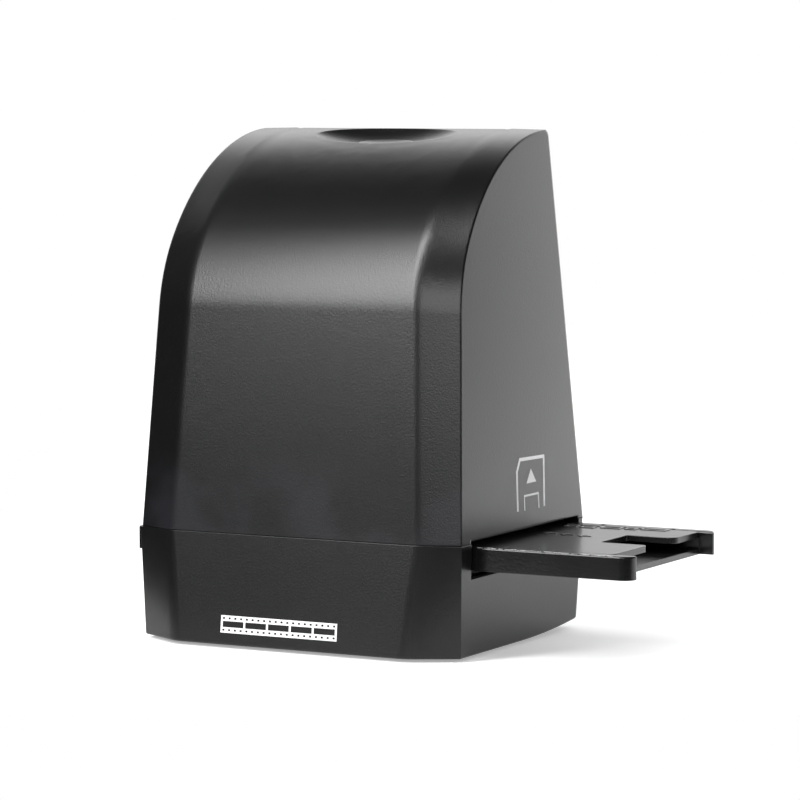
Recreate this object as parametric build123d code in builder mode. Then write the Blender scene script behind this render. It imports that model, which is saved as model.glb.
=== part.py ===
from build123d import *
import os
from math import atan2, cos, degrees, radians, sin, sqrt, tan

# Film negative scanner. A slide tray passes sideways through the base, between a lamp below
# and a small camera above. +X is the tray's travel, +Y runs from the curved front to the flat
# leaning back, +Z is up. The origin is on the standing plane, under the middle of the case.
# All sizes are in millimetres and all angles in degrees.

# Case
wall = 2.0
foot_stand = 0.8
seam_height = 28.2
seam_step = 0.25
seam_half_width = 45.15
seam_crease = 34.5
seam_front = -35.25
seam_side_front = -32.4
seam_back = 36.9
seam_corner = 1.2
bottom_half_width = 44.45
bottom_crease = 32.3
bottom_front = -38.05
bottom_side_front = -31.3
bottom_back = 36.4
bottom_corner = 3.8
bottom_round = 0.6
tail_start = 2.0
tail_rise = 2.0
crease_round = 9.0
least_corner = 0.8
lip_thickness = 0.9
lip_height = 1.6
lip_clearance = 0.15

# Hood: its side edges and its front creases are each a line and two arcs
side_draft = 0.045
knee_height = 83.8
side_edge = {"front": -31.95, "lean": 4.6, "knee": 38.5, "turn": 27.3, "crown": 56.3}
crease_edge = {"front": -35.0, "lean": 4.1, "knee": 36.4, "turn": 35.4, "crown": 64.3}
back_lean = 6.95
top_corner = 2.0
inner_top_corner = 1.0

# Slide tray
mount_width = 50.8
mount_gap = 2.8
tray_left = -49.7
tray_rail_end = 86.5
tray_rear_rail_end = 84.0
tray_plate_end = 80.5
tray_middle = 3.6
tray_ledge = 0.5
tray_rail = 3.5
tray_plate = 1.4
cover_plate = 1.5
cover_side_gap = 0.2
cover_sink = 0.05
tray_bottom = 21.7
window = 38.0
window_corner = 2.5
notch_depth = 13.0
notch_width = 16.2
notch_corner = 1.2
notch_shift = 2.45
tongue_round = 2.0
rail_round = 3.0
rail_edge_round = 0.45
index_pitch = 19.5
index_first = -44.1
index_count = 7
index_length = 1.2
index_depth = 0.8
tray_in_travel = 40.0
tray_out_travel = 80.0

# Slots and film channel
running_gap = 0.3
slot_front_gap = 1.15
slot_back_gap = 0.6
slot_over = 1.6
guide_plate = 1.7
guide_half_length = 40.8
guide_front_rail = 1.5
guide_rear_rail = 0.7
guide_window = 40.0
upper_plate = 1.6
seal_length = 2.0
seal_gap = 0.15
lug_radius = 2.4
lug_x = 31.0
lug_height = 5.0
lug_reach = 2.6
clip_x = 20.0
clip_width = 8.0
clip_gap = 0.3
clip_hook = 0.6
spring_length = 22.0
spring_x = -20.0
spring_strip = 0.25
spring_height = 3.6
spring_pocket = 0.9

# Fasteners
screw_gap = 0.1
case_screw = {"radius": 1.0, "head": 2.1, "head_height": 1.6}
small_screw = {"radius": 0.8, "head": 1.5, "head_height": 0.9}
case_boss_x = 22.0
case_boss_y = -31.3
case_boss_radius = 3.6
case_boss_neck = 2.7
case_boss_top = 12.0
case_screw_seat = 14.0
case_screw_bite = 8.0
post_radius = 3.0
post_x = 34.0
post_front = -19.0
post_rear = 26.0
post_screw_depth = 8.0

# Rubber feet
foot_radius = 4.0
foot_sink = 1.0
foot_gap = 0.1
foot_x = 33.5
foot_front_y = -26.0
foot_rear_y = 18.0

# Lamp
lamp_standoff = 2.0
lamp_standoff_radius = 2.5
lamp_board = 50.0
lamp_board_thickness = 1.6
lamp_pitch = 13.0
lamp_rows = 3
lamp_length = 3.5
lamp_width = 2.8
lamp_height = 0.8
reflector_foot = 38.0
reflector_mouth = 43.0
reflector_wall = 1.2
diffuser = 44.0
diffuser_thickness = 2.0

# Camera
tunnel_flange = 52.0
tunnel_flange_thickness = 1.6
tunnel_foot = 44.0
tunnel_top = 22.0
tunnel_wall = 1.6
tunnel_height = 50.0
tunnel_screw_reach = 1.2
holder = 20.0
holder_height = 14.0
holder_throat = 7.0
barrel_radius = 6.0
barrel_length = 13.0
barrel_gap = 0.05
barrel_wall = 1.2
barrel_below = 3.0
front_lens_thickness = 2.6
rear_lens_thickness = 2.0
lens_inset = 0.8
lens_dome = 0.7
filter_side = 8.0
filter_thickness = 0.6
sensor_side = 8.5
sensor_thickness = 1.5
sensor_board_x = 28.0
sensor_board_y = 24.0
board_thickness = 1.2
ribbon_thickness = 0.3
ribbon_width = 10.0
button_ribbon_width = 5.0
button_ribbon_x = -8.5

# Main board, on standoffs inside the leaning back
standoff = 6.0
standoff_radius = 2.6
standoff_x = 26.0
standoff_low = 21.0
standoff_high = 73.0
main_width = 60.0
main_low = 17.0
main_high = 77.0
main_thickness = 1.6
chip_low = 50.0
chip_side = 12.0
chip_thickness = 1.2
memory_width = 8.0
memory_length = 14.0
memory_x = 19.0
connector_depth = 2.0
connector_height = 3.0
usb_width = 7.7
usb_height = 3.9
usb_mouth_width = 6.9
usb_mouth_height = 3.1
usb_mouth_depth = 6.0
usb_rise = 22.0
usb_gap = 0.2
usb_sink = 0.6

# Scan button, in the dish on top
dish_y = 13.8
dish_depth = 3.4
dish_length = 40.0
dish_width = 19.0
button_length = 17.0
button_width = 7.6
button_gap = 0.25
button_proud = 0.4
button_travel = 0.8
flange_overlap = 1.3
flange_thickness = 1.0
flange_drop = 0.5
stem_radius = 2.0
stem_length = 1.2
switch_side = 6.0
switch_height = 3.5
switch_drop = 1.3
plunger_radius = 1.7
plunger_length = 2.4
plunger_gap = 0.1
button_board_length = 34.0
button_board_front = 10.0
button_board_back = 5.6
button_boss_radius = 2.4
button_boss_x = 14.0
light_radius = 1.0
light_offset = -7.7
light_gap = 0.05
lamp_die_height = 0.9

# Lamp cable
cable_radius = 1.1
cable_bend = 4.0
cable_x = -11.0
cable_side_x = -24.0
cable_height = 60.0
plug_side = 5.0
plug_height = 3.0

# Worked out from the sizes above
tray_width = mount_width + 2 * (tray_ledge + tray_rail)
tray_front = tray_middle - tray_width / 2
tray_back = tray_middle + tray_width / 2
cover_bottom = tray_bottom + tray_plate + mount_gap
tray_top = cover_bottom + cover_plate + cover_sink
guide_top = tray_bottom - running_gap
guide_bottom = guide_top - guide_plate
upper_bottom = tray_top + running_gap
upper_top = upper_bottom + upper_plate
channel_front = tray_front - running_gap
channel_back = tray_back + running_gap
slot_front = tray_front - slot_front_gap
slot_back = tray_back + slot_back_gap
slot_top = tray_top + slot_over
floor_top = foot_stand + wall
lamp_board_bottom = floor_top + lamp_standoff
lamp_board_top = lamp_board_bottom + lamp_board_thickness
diffuser_bottom = guide_bottom - diffuser_thickness
flange_top = upper_top + tunnel_flange_thickness
tunnel_end = upper_top + tunnel_height
holder_top = tunnel_end + holder_height
boss_seat = seam_height + lip_height + lip_clearance
upper_half_length = guide_half_length - seal_length
flange_holes = tunnel_flange - 2 * lug_radius
tail_radius = ((bottom_back - tail_start) ** 2 + tail_rise**2) / (2 * tail_rise)


def slope_point(centre, radius, slope):
    """The point of an arc where its tangent leans by this many degrees from the vertical."""
    return centre + Vector(-cos(radians(slope)), sin(radians(slope))) * radius


def hood_centres(edge):
    """The centres of an edge's knee arc and crown arc, in the section plane."""
    start_height = knee_height - seam_height
    start = Vector(edge["front"] + start_height * tan(radians(edge["lean"])), start_height)
    knee = start + Vector(cos(radians(edge["lean"])), -sin(radians(edge["lean"]))) * edge["knee"]
    crown = slope_point(knee, edge["knee"] - edge["crown"], edge["lean"] + edge["turn"])
    return knee, crown


def blended_edge(share):
    """An edge profile between the crease's and the side's."""
    return {
        name: size + (side_edge[name] - size) * share for name, size in crease_edge.items()
    }


def hood_section(x, edge, inset, corner):
    """A cut through the hood in the drafted upright plane at x, drawn inset from its outside."""
    knee_centre, crown_centre = hood_centres(edge)
    knee = edge["knee"] - inset
    crown = edge["crown"] - inset
    turned = edge["lean"] + edge["turn"]
    outward = Vector(cos(radians(back_lean)), sin(radians(back_lean)))
    upward = Vector(-outward.Y, outward.X)
    back_foot = Vector(seam_back - seam_step - inset / outward.X, 0)
    reach = back_foot - outward * corner - crown_centre
    along = reach.dot(upward)
    rise = -along + sqrt(along**2 - reach.dot(reach) + (crown - corner) ** 2)
    corner_centre = back_foot - outward * corner + upward * rise
    to_corner = (corner_centre - crown_centre).normalized()
    crown_end = crown_centre + to_corner * crown
    crown_slope = degrees(atan2(to_corner.Y, -to_corner.X))
    corner_middle = corner_centre + (to_corner + outward).normalized() * corner
    back_end = corner_centre + outward * corner
    knee_start = slope_point(knee_centre, knee, edge["lean"])
    knee_end = slope_point(knee_centre, knee, turned)
    front_foot = Vector(knee_start.X - knee_start.Y * tan(radians(edge["lean"])), 0)
    side = 1 if x > 0 else -1
    plane = Plane(origin=(x, 0, seam_height), x_dir=(0, 1, 0), z_dir=(1, 0, side * side_draft))
    with BuildSketch(plane) as section:
        with BuildLine():
            Line(front_foot, knee_start)
            knee_middle = slope_point(knee_centre, knee, (edge["lean"] + turned) / 2)
            ThreePointArc(knee_start, knee_middle, knee_end)
            crown_middle = slope_point(crown_centre, crown, (turned + crown_slope) / 2)
            ThreePointArc(knee_end, crown_middle, crown_end)
            ThreePointArc(crown_end, corner_middle, back_end)
            Line(back_end, back_foot)
            Line(back_foot, front_foot)
        make_face()
    return section.sketch


def hood_solid(inset=0.0):
    """The hood's outside, or its hollow when it is inset by the wall."""
    side_x = seam_half_width - seam_step - inset
    crease_x = seam_crease - inset / 4
    corner = inner_top_corner if inset else top_corner
    band_turn = atan2(side_edge["front"] - crease_edge["front"], side_x - crease_x)
    half_round = crease_round * tan(band_turn / 2)
    round_depth = crease_round * (1 / cos(band_turn / 2) - 1)
    past_crease = blended_edge(half_round / (side_x - crease_x))
    stations = [
        (crease_x - half_round, crease_edge, inset),
        (crease_x, crease_edge, inset + round_depth),
        (crease_x + half_round, past_crease, inset),
        (side_x, side_edge, inset),
    ]
    left_half = [hood_section(-x, edge, deep, corner) for x, edge, deep in reversed(stations)]
    right_half = [hood_section(x, edge, deep, corner) for x, edge, deep in stations]
    with BuildPart() as body:
        loft(left_half + right_half, ruled=True)
    return body.part


def base_outline(height, inset=0.0):
    """The base's plan at a height, between its bottom outline and the one at the seam."""
    share = (height - foot_stand) / (seam_height - foot_stand)

    def between(bottom, seam):
        return bottom + (seam - bottom) * share

    crease_x = between(bottom_crease, seam_crease) - inset / 4
    front_y = between(bottom_front, seam_front) + inset
    side_x = between(bottom_half_width, seam_half_width) - inset
    side_y = between(bottom_side_front, seam_side_front) + inset
    back_y = between(bottom_back, seam_back) - inset
    corner = max(between(bottom_corner, seam_corner) - inset, least_corner)
    with BuildSketch(Plane.XY.offset(height)) as outline:
        with BuildLine():
            Line((-crease_x, front_y), (crease_x, front_y))
            Line((crease_x, front_y), (side_x, side_y))
            Line((side_x, side_y), (side_x, back_y - corner))
            RadiusArc((side_x, back_y - corner), (side_x - corner, back_y), -corner)
            Line((side_x - corner, back_y), (corner - side_x, back_y))
            RadiusArc((corner - side_x, back_y), (-side_x, back_y - corner), -corner)
            Line((-side_x, back_y - corner), (-side_x, side_y))
            Line((-side_x, side_y), (-crease_x, front_y))
        make_face()
        fillet(outline.vertices().group_by(Axis.Y)[0], crease_round)
    return outline.sketch


def base_solid(low, high, inset=0.0):
    """The base's body between two heights."""
    with BuildPart() as body:
        loft([base_outline(low, inset), base_outline(high, inset)], ruled=True)
    return body.part


def tail_block(lift=0.0):
    """What lies under the base: its top is flat, then bends up towards the back."""
    low = foot_stand + lift
    reach = seam_back + wall - tail_start
    with BuildPart() as body:
        with BuildSketch(Plane.YZ.offset(-seam_half_width)):
            with BuildLine():
                RadiusArc(
                    (tail_start, low),
                    (tail_start + reach, low + tail_radius - sqrt(tail_radius**2 - reach**2)),
                    -tail_radius,
                )
                Line((tail_start + reach, low), (tail_start, low))
                Line(
                    (tail_start + reach, low),
                    (tail_start + reach, low + tail_radius - sqrt(tail_radius**2 - reach**2)),
                )
            make_face()
        extrude(amount=2 * seam_half_width)
    return body.part


def rim_block(inset, height):
    """An upright block on the seam, inside the base's rim outline."""
    with BuildPart() as body:
        extrude(base_outline(seam_height, inset), amount=height)
    return body.part


def save(part, name):
    """Labels a finished piece and writes its STEP file."""
    part.label = name
    export_step(part, f"parts/{name}.step")


def screw(plane, size, length, head_sink=0.0):
    """A pan head screw that points along the plane's -Z, with its head seated on the plane."""
    with BuildPart(plane) as body:
        with Locations((0, 0, -length / 2)):
            Cylinder(size["radius"], length)
        with Locations((0, 0, size["head_height"] / 2 - head_sink)):
            Cylinder(size["head"], size["head_height"])
        edge = body.faces().sort_by(Axis((0, 0, 0), plane.z_dir))[-1].edges()
        fillet(edge, size["head_height"] / 3)
    return body.part


os.makedirs("parts", exist_ok=True)

# The leaning back, the dish and the camera each have a plane of their own
back_plane = Plane(
    origin=(0, seam_back - seam_step, seam_height),
    x_dir=(-1, 0, 0),
    z_dir=(0, cos(radians(back_lean)), sin(radians(back_lean))),
)
crown_middle_point = hood_centres(crease_edge)[1]
dish_lift = sqrt(crease_edge["crown"] ** 2 - (dish_y - crown_middle_point.X) ** 2)
dish_normal = Vector(dish_y - crown_middle_point.X, dish_lift).normalized()
dish_plane = Plane(
    origin=(0, dish_y, seam_height + crown_middle_point.Y + dish_lift),
    x_dir=(1, 0, 0),
    z_dir=(0, dish_normal.X, dish_normal.Y),
)
# The dish is part of an oval ball that is round about its long axis
dish_radius = (dish_depth**2 + (dish_width / 2) ** 2) / (2 * dish_depth)
dish_centre = dish_radius - dish_depth
dish_half_length = dish_length / 2 / sqrt(1 - (dish_centre / dish_radius) ** 2)


def dish_ball(thicker=0.0, lift=0.0):
    """The oval ball whose underside is the dish, with its long axis along X."""
    plane = dish_plane.offset(dish_centre + lift)
    with BuildPart() as body:
        with BuildSketch(plane) as half:
            Ellipse(dish_half_length + thicker, dish_radius + thicker)
            with Locations((0, -dish_radius)):
                Rectangle(3 * dish_half_length, 2 * dish_radius, mode=Mode.SUBTRACT)
        revolve(half.sketch, axis=Axis(plane.origin, (1, 0, 0)))
    return body.part


# Base: a tray-shaped shell with the lower halves of the slots, screw posts and guide posts
slot_length = 2 * seam_half_width + 2 * wall
slot_y = (slot_front + slot_back) / 2
slot_width = slot_back - slot_front
case_bosses = [(-case_boss_x, case_boss_y), (case_boss_x, case_boss_y)]
guide_posts = [(x, y) for x in (-post_x, post_x) for y in (post_front, post_rear)]
foot_places = [(x, y) for x in (-foot_x, foot_x) for y in (foot_front_y, foot_rear_y)]
lamp_corner = lamp_board / 2 - lamp_standoff_radius
lamp_corners = [
    (x, tray_middle + y) for x in (-lamp_corner, lamp_corner) for y in (-lamp_corner, lamp_corner)
]

with BuildPart() as base_shell:
    add(base_solid(foot_stand, seam_height))
    add(tail_block(), mode=Mode.SUBTRACT)
    under_edges = base_shell.faces().sort_by(Axis.Z)[:2].edges()
    fillet([edge for edge in under_edges if edge.center().Y != tail_start], bottom_round)
    with BuildPart(mode=Mode.PRIVATE) as base_hollow:
        add(base_solid(floor_top, seam_height, wall))
        add(tail_block(wall), mode=Mode.SUBTRACT)
    add(base_hollow.part, mode=Mode.SUBTRACT)
    add(rim_block(wall - lip_thickness, lip_height))
    add(rim_block(wall, lip_height), mode=Mode.SUBTRACT)
    with BuildSketch(Plane.XY.offset(floor_top - wall / 2)):
        with Locations(*case_bosses):
            Circle(case_boss_radius)
    extrude(amount=seam_height - floor_top + wall / 2)
    with BuildSketch(Plane.XY.offset(seam_height - wall)):
        with Locations(*case_bosses):
            Circle(case_boss_neck)
    extrude(amount=boss_seat + wall - seam_height)
    with BuildSketch(Plane.XY.offset(floor_top)):
        with Locations(*guide_posts):
            Circle(post_radius)
    extrude(amount=guide_bottom - floor_top)
    with BuildSketch(Plane.XY.offset(floor_top)):
        with Locations(*lamp_corners):
            Circle(lamp_standoff_radius)
    extrude(amount=lamp_standoff)
    with BuildSketch(Plane.XY):
        with Locations(*case_bosses):
            Circle(case_screw["head"] + screw_gap)
    extrude(amount=case_screw_seat, mode=Mode.SUBTRACT)
    with BuildSketch(Plane.XY):
        with Locations(*case_bosses):
            Circle(case_screw["radius"] + screw_gap)
    extrude(amount=boss_seat, mode=Mode.SUBTRACT)
    with BuildSketch(Plane.XY.offset(guide_bottom)):
        with Locations(*guide_posts):
            Circle(small_screw["radius"] + screw_gap)
    extrude(amount=-post_screw_depth, mode=Mode.SUBTRACT)
    with BuildSketch(Plane.XY.offset(foot_stand)):
        with Locations(*foot_places):
            Circle(foot_radius + foot_gap)
    extrude(amount=foot_sink, mode=Mode.SUBTRACT)
    with BuildSketch(Plane.XY.offset(guide_bottom)):
        with Locations((0, slot_y)):
            Rectangle(slot_length, slot_width)
    extrude(amount=seam_height + 2 * lip_height - guide_bottom, mode=Mode.SUBTRACT)
save(base_shell.part, "base_shell")

# Hood: a thin shell with the upper halves of the slots, the dish with the button's hole,
# screw bosses at the front, and standoffs for the main board inside the leaning back
board_holes = [
    (x, y) for x in (-standoff_x, standoff_x) for y in (standoff_low, standoff_high)
]
board_back = back_plane.offset(-wall - standoff)
board_front = board_back.offset(-main_thickness)
button_seat = dish_plane.offset(-dish_depth - wall - flange_drop)
button_board_top = button_seat.offset(
    -flange_thickness - stem_length - switch_drop - switch_height
)
button_board_places = [(-button_boss_x, 0), (button_boss_x, 0)]

with BuildPart() as hood_shell:
    add(hood_solid())
    add(hood_solid(wall), mode=Mode.SUBTRACT)
    with BuildPart(mode=Mode.PRIVATE) as cup:
        add(dish_ball(wall))
        add(hood_solid(wall / 2), mode=Mode.INTERSECT)
    add(cup.part)
    with BuildSketch(button_board_top):
        with Locations(*button_board_places):
            Circle(button_boss_radius)
    extrude(amount=button_board_top.to_local_coords(dish_plane.origin).Z - wall)
    add(dish_ball(), mode=Mode.SUBTRACT)
    with BuildSketch(button_board_top):
        with Locations(*button_board_places):
            Circle(small_screw["radius"] + screw_gap)
    extrude(amount=case_screw_bite, mode=Mode.SUBTRACT)
    with BuildSketch(button_seat):
        Ellipse(button_length / 2 + button_gap, button_width / 2 + button_gap)
        with Locations((0, light_offset)):
            Circle(light_radius + light_gap)
    extrude(amount=2 * dish_depth + wall, mode=Mode.SUBTRACT)
    with BuildSketch(Plane.XY.offset(boss_seat)):
        with Locations(*case_bosses):
            Circle(case_boss_neck)
    extrude(amount=case_boss_top)
    add(rim_block(wall - lip_thickness - lip_clearance, lip_height + lip_clearance),
        mode=Mode.SUBTRACT)
    with BuildSketch(Plane.XY.offset(boss_seat)):
        with Locations(*case_bosses):
            Circle(case_screw["radius"] + screw_gap)
    extrude(amount=case_screw_bite + screw_gap, mode=Mode.SUBTRACT)
    with BuildSketch(board_back):
        with Locations(*board_holes):
            Circle(standoff_radius)
    extrude(amount=standoff + wall / 2)
    with BuildSketch(board_back):
        with Locations(*board_holes):
            Circle(small_screw["radius"] + screw_gap)
    extrude(amount=standoff - screw_gap, mode=Mode.SUBTRACT)
    with BuildSketch(back_plane):
        with Locations((0, usb_rise)):
            Rectangle(usb_width + 2 * usb_gap, usb_height + 2 * usb_gap)
    extrude(amount=-wall - usb_gap, mode=Mode.SUBTRACT)
    with BuildSketch(Plane.XY.offset(seam_height)):
        with Locations((0, slot_y)):
            Rectangle(slot_length, slot_width)
    extrude(amount=slot_top - seam_height, mode=Mode.SUBTRACT)
save(hood_shell.part, "hood_shell")

# Rubber feet, pressed into pockets of the base
with BuildPart() as rubber_feet:
    with BuildSketch():
        with Locations(*foot_places):
            Circle(foot_radius)
    extrude(amount=foot_stand + foot_sink)
save(rubber_feet.part, "rubber_feet")

# Case screws, from below into the hood's bosses
with BuildPart() as case_screws:
    for place in case_bosses:
        seat = Plane(origin=(*place, case_screw_seat), x_dir=(1, 0, 0), z_dir=(0, 0, -1))
        add(screw(seat, case_screw, boss_seat + case_screw_bite - case_screw_seat))
save(case_screws.part, "case_screws")

# Lower film guide: a plate under the tray with a rail on each side, two lugs for the upper
# guide's screws, two clips at the back and a pocket for the tray spring
lug_y = channel_front - guide_front_rail - lug_reach
lugs = [(-lug_x, lug_y), (lug_x, lug_y)]
rail_height = upper_bottom - guide_bottom
guide_rear = channel_back + guide_rear_rail
guide_front = channel_front - guide_front_rail
spring_z = (tray_bottom + tray_top) / 2

with BuildPart() as lower_guide:
    with BuildSketch(Plane.XY.offset(guide_bottom)):
        with Locations((0, (guide_front + guide_rear) / 2)):
            Rectangle(2 * guide_half_length, guide_rear - guide_front)
    extrude(amount=rail_height)
    with BuildSketch(Plane.XY.offset(guide_top)):
        with Locations((0, (channel_front + channel_back) / 2)):
            Rectangle(2 * guide_half_length, channel_back - channel_front)
    extrude(amount=rail_height, mode=Mode.SUBTRACT)
    with BuildSketch(Plane.XY.offset(guide_bottom)):
        with Locations((0, tray_middle)):
            RectangleRounded(guide_window, guide_window, window_corner)
    extrude(amount=guide_plate, mode=Mode.SUBTRACT)
    with BuildSketch(Plane.XY.offset(upper_bottom)):
        with Locations(*lugs):
            Circle(lug_radius)
        for x, y in lugs:
            with Locations((x, (y + guide_front) / 2)):
                Rectangle(2 * lug_radius, guide_front - y)
    extrude(amount=-lug_height)
    with BuildSketch(Plane.XY.offset(upper_bottom)):
        with Locations(*lugs):
            Circle(small_screw["radius"] + screw_gap)
    extrude(amount=-lug_height, mode=Mode.SUBTRACT)
    for x in (-clip_x, clip_x):
        with BuildSketch(Plane.YZ.offset(x - clip_width / 2)):
            with BuildLine():
                Polyline(
                    (channel_back, upper_bottom),
                    (channel_back, upper_top + running_gap / 2),
                    (channel_back - clip_hook, upper_top + running_gap / 2),
                    (guide_rear, upper_top + running_gap + 2 * clip_hook),
                    (guide_rear, upper_bottom),
                    close=True,
                )
            make_face()
        extrude(amount=clip_width)
    with BuildSketch(Plane.XZ.offset(-channel_front)):
        with Locations((spring_x, spring_z)):
            Rectangle(spring_length, spring_height + 2 * running_gap)
    extrude(amount=spring_pocket, mode=Mode.SUBTRACT)
    with BuildSketch(Plane.XY.offset(guide_bottom)):
        with Locations(*guide_posts):
            Circle(small_screw["radius"] + screw_gap)
    extrude(amount=guide_plate, mode=Mode.SUBTRACT)
    with BuildSketch(Plane.XY.offset(guide_top)):
        with Locations(*guide_posts):
            Circle(small_screw["head"] + screw_gap)
    extrude(amount=-small_screw["head_height"] - screw_gap, mode=Mode.SUBTRACT)
save(lower_guide.part, "lower_guide")

# Screws with sunk heads that hold the lower guide on its posts
with BuildPart() as guide_screws:
    for x, y in guide_posts:
        seat = guide_top - small_screw["head_height"] - screw_gap
        plane = Plane(origin=(x, y, seat), x_dir=(1, 0, 0), z_dir=(0, 0, 1))
        add(screw(plane, small_screw, guide_plate + post_screw_depth / 2))
save(guide_screws.part, "guide_screws")

# Tray spring: a bowed steel leaf that drags on the tray's front rail
with BuildPart() as tray_spring:
    with BuildSketch(Plane.XY.offset(spring_z - spring_height / 2)):
        with BuildLine():
            pocket_floor = channel_front - spring_pocket + spring_strip
            left_end = (spring_x - spring_length / 2 + running_gap, pocket_floor)
            right_end = (spring_x + spring_length / 2 - running_gap, pocket_floor)
            inner = ThreePointArc(left_end, (spring_x, channel_front), right_end)
            left_back = (left_end[0], pocket_floor - spring_strip)
            right_back = (right_end[0], pocket_floor - spring_strip)
            ThreePointArc(left_back, (spring_x, channel_front - spring_strip), right_back)
            Line(left_end, left_back)
            Line(right_end, right_back)
        make_face()
    extrude(amount=spring_height)
save(tray_spring.part, "tray_spring")

# Upper film guide, screwed to the lugs and held under the two clips
with BuildPart() as upper_guide:
    with BuildSketch(Plane.XY.offset(upper_bottom)):
        with Locations((0, (guide_front + guide_rear) / 2)):
            Rectangle(2 * upper_half_length, guide_rear - guide_front)
        with Locations(*lugs):
            Circle(lug_radius)
        for x, y in lugs:
            with Locations((x, (y + guide_front) / 2)):
                Rectangle(2 * lug_radius, guide_front - y)
        with Locations((0, tray_middle)):
            RectangleRounded(guide_window, guide_window, window_corner, mode=Mode.SUBTRACT)
        with Locations((-clip_x, guide_rear), (clip_x, guide_rear)):
            Rectangle(
                clip_width + 2 * clip_gap,
                2 * (guide_rear_rail + screw_gap),
                mode=Mode.SUBTRACT,
            )
        with Locations(*lugs):
            Circle(small_screw["radius"] + screw_gap, mode=Mode.SUBTRACT)
    extrude(amount=upper_plate)
    with BuildSketch(Plane.XY.offset(upper_top)):
        with Locations((0, tray_middle)):
            with GridLocations(flange_holes, flange_holes, 2, 2):
                Circle(small_screw["radius"] + screw_gap)
    extrude(amount=-tunnel_screw_reach - screw_gap, mode=Mode.SUBTRACT)
save(upper_guide.part, "upper_guide")

with BuildPart() as upper_guide_screws:
    for x, y in lugs:
        plane = Plane(origin=(x, y, upper_top), x_dir=(1, 0, 0), z_dir=(0, 0, 1))
        add(screw(plane, small_screw, upper_plate + lug_height - screw_gap))
save(upper_guide_screws.part, "upper_guide_screws")

# Felt strips on the upper guide's ends, which keep light out of the slots
with BuildPart() as light_seals:
    for side in (-1, 1):
        middle_x = side * (upper_half_length + seal_length / 2)
        with BuildSketch(Plane.XY.offset(tray_top + seal_gap)):
            with Locations((middle_x, tray_middle)):
                Rectangle(seal_length, tray_width)
        extrude(amount=upper_top - tray_top - seal_gap)
save(light_seals.part, "light_seals")

# Lamp: a board of white lamps, a tapered reflector and an opal plate under the window
lamp_plane = Plane.XY.offset(lamp_board_bottom)
with BuildPart() as lamp_board_part:
    with BuildSketch(lamp_plane):
        with Locations((0, tray_middle)):
            Rectangle(lamp_board, lamp_board)
    extrude(amount=lamp_board_thickness)
save(lamp_board_part.part, "lamp_board")

with BuildPart() as lamps:
    with BuildSketch(lamp_plane.offset(lamp_board_thickness)):
        with Locations((0, tray_middle)):
            with GridLocations(lamp_pitch, lamp_pitch, lamp_rows, lamp_rows):
                Rectangle(lamp_length, lamp_width)
    extrude(amount=lamp_height)
save(lamps.part, "lamps")


def reflector_block(inset):
    """A tapered block from the lamp board up to the opal plate."""
    with BuildPart() as body:
        with BuildSketch(Plane.XY.offset(lamp_board_top)) as foot:
            with Locations((0, tray_middle)):
                Rectangle(reflector_foot - 2 * inset, reflector_foot - 2 * inset)
        with BuildSketch(Plane.XY.offset(diffuser_bottom)) as mouth:
            with Locations((0, tray_middle)):
                Rectangle(reflector_mouth - 2 * inset, reflector_mouth - 2 * inset)
        loft([foot.sketch, mouth.sketch], ruled=True)
    return body.part


with BuildPart() as reflector:
    add(reflector_block(0))
    add(reflector_block(reflector_wall), mode=Mode.SUBTRACT)
save(reflector.part, "reflector")

with BuildPart() as diffuser_plate:
    with BuildSketch(Plane.XY.offset(diffuser_bottom)):
        with Locations((0, tray_middle)):
            Rectangle(diffuser, diffuser)
    extrude(amount=diffuser_thickness)
save(diffuser_plate.part, "diffuser")


# Camera: a tapered light tunnel on the upper guide, the lens and the sensor on top of it
def tunnel_block(inset):
    """The tunnel's tapered outside, or its hollow when inset by the wall."""
    with BuildPart() as body:
        with BuildSketch(Plane.XY.offset(upper_top)) as foot:
            with Locations((0, tray_middle)):
                Rectangle(tunnel_foot - 2 * inset, tunnel_foot - 2 * inset)
        with BuildSketch(Plane.XY.offset(tunnel_end)) as top:
            with Locations((0, tray_middle)):
                Rectangle(tunnel_top - 2 * inset, tunnel_top - 2 * inset)
        loft([foot.sketch, top.sketch], ruled=True)
    return body.part


with BuildPart() as light_tunnel:
    add(tunnel_block(0))
    with BuildSketch(Plane.XY.offset(upper_top)):
        with Locations((0, tray_middle)):
            RectangleRounded(tunnel_flange, tunnel_flange, lug_radius)
    extrude(amount=tunnel_flange_thickness)
    add(tunnel_block(tunnel_wall), mode=Mode.SUBTRACT)
    with BuildSketch(Plane.XY.offset(upper_top)):
        with Locations((0, tray_middle)):
            with GridLocations(flange_holes, flange_holes, 2, 2):
                Circle(small_screw["radius"] + screw_gap)
    extrude(amount=tunnel_flange_thickness, mode=Mode.SUBTRACT)
save(light_tunnel.part, "light_tunnel")

with BuildPart() as tunnel_screws:
    for x in (-flange_holes / 2, flange_holes / 2):
        for y in (-flange_holes / 2, flange_holes / 2):
            plane = Plane(origin=(x, tray_middle + y, flange_top), z_dir=(0, 0, 1))
            add(screw(plane, small_screw, tunnel_flange_thickness + tunnel_screw_reach))
save(tunnel_screws.part, "tunnel_screws")

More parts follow.
